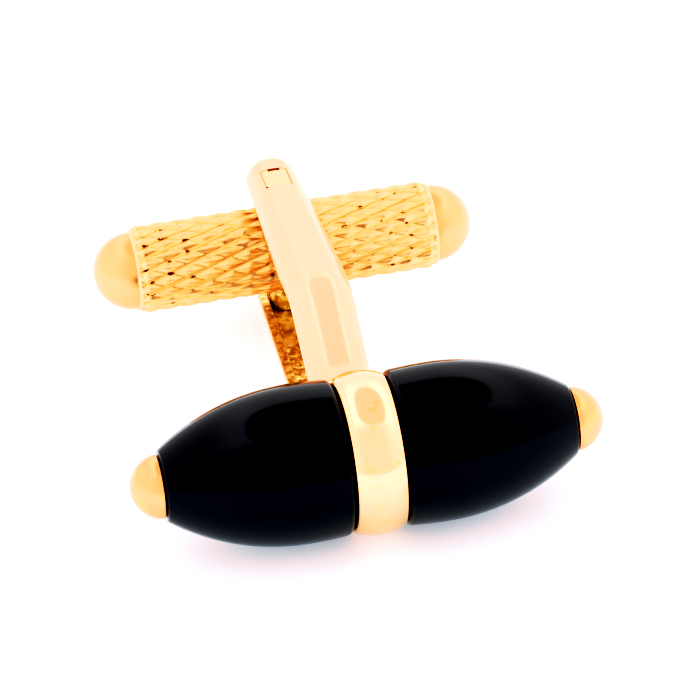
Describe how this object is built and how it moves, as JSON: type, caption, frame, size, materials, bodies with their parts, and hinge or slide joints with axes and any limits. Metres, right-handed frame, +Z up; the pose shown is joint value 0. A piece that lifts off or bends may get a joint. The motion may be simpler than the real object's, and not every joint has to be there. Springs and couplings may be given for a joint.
{
  "type": "cufflink",
  "caption": "Swivel bar cufflink: a torpedo head of black stone on a gold band, a forked post and a knurled bar that turns between the arms.",
  "frame": {"origin": "middle of the bounding box's bottom face, on the surface that the cufflink lies on", "axes": "+X along the head, +Y from the head along the post to the swivel bar, +Z up, along the swivel axis"},
  "size_m": [0.022, 0.0258, 0.0076],
  "materials": {
    "black_onyx": "polished",
    "polished_gold": "polished gold plate",
    "pin_gold": "gold plate",
    "knurled_gold": "knurled gold plate"
  },
  "bodies": {
    "head": {"stone_left": "black_onyx", "stone_right": "black_onyx", "cap_left": "polished_gold", "cap_right": "polished_gold", "rod": "pin_gold", "band_fork": "polished_gold", "pivot_pin": "pin_gold"},
    "toggle": {"toggle_bar": "knurled_gold"}
  },
  "joints": [
    {"name": "toggle_swivel", "type": "hinge", "parent": "head", "child": "toggle", "pos_m": [0, 0.01005, 0.0038], "axis": [0, 0, 1], "range_deg": [-90, 90]}
  ]
}
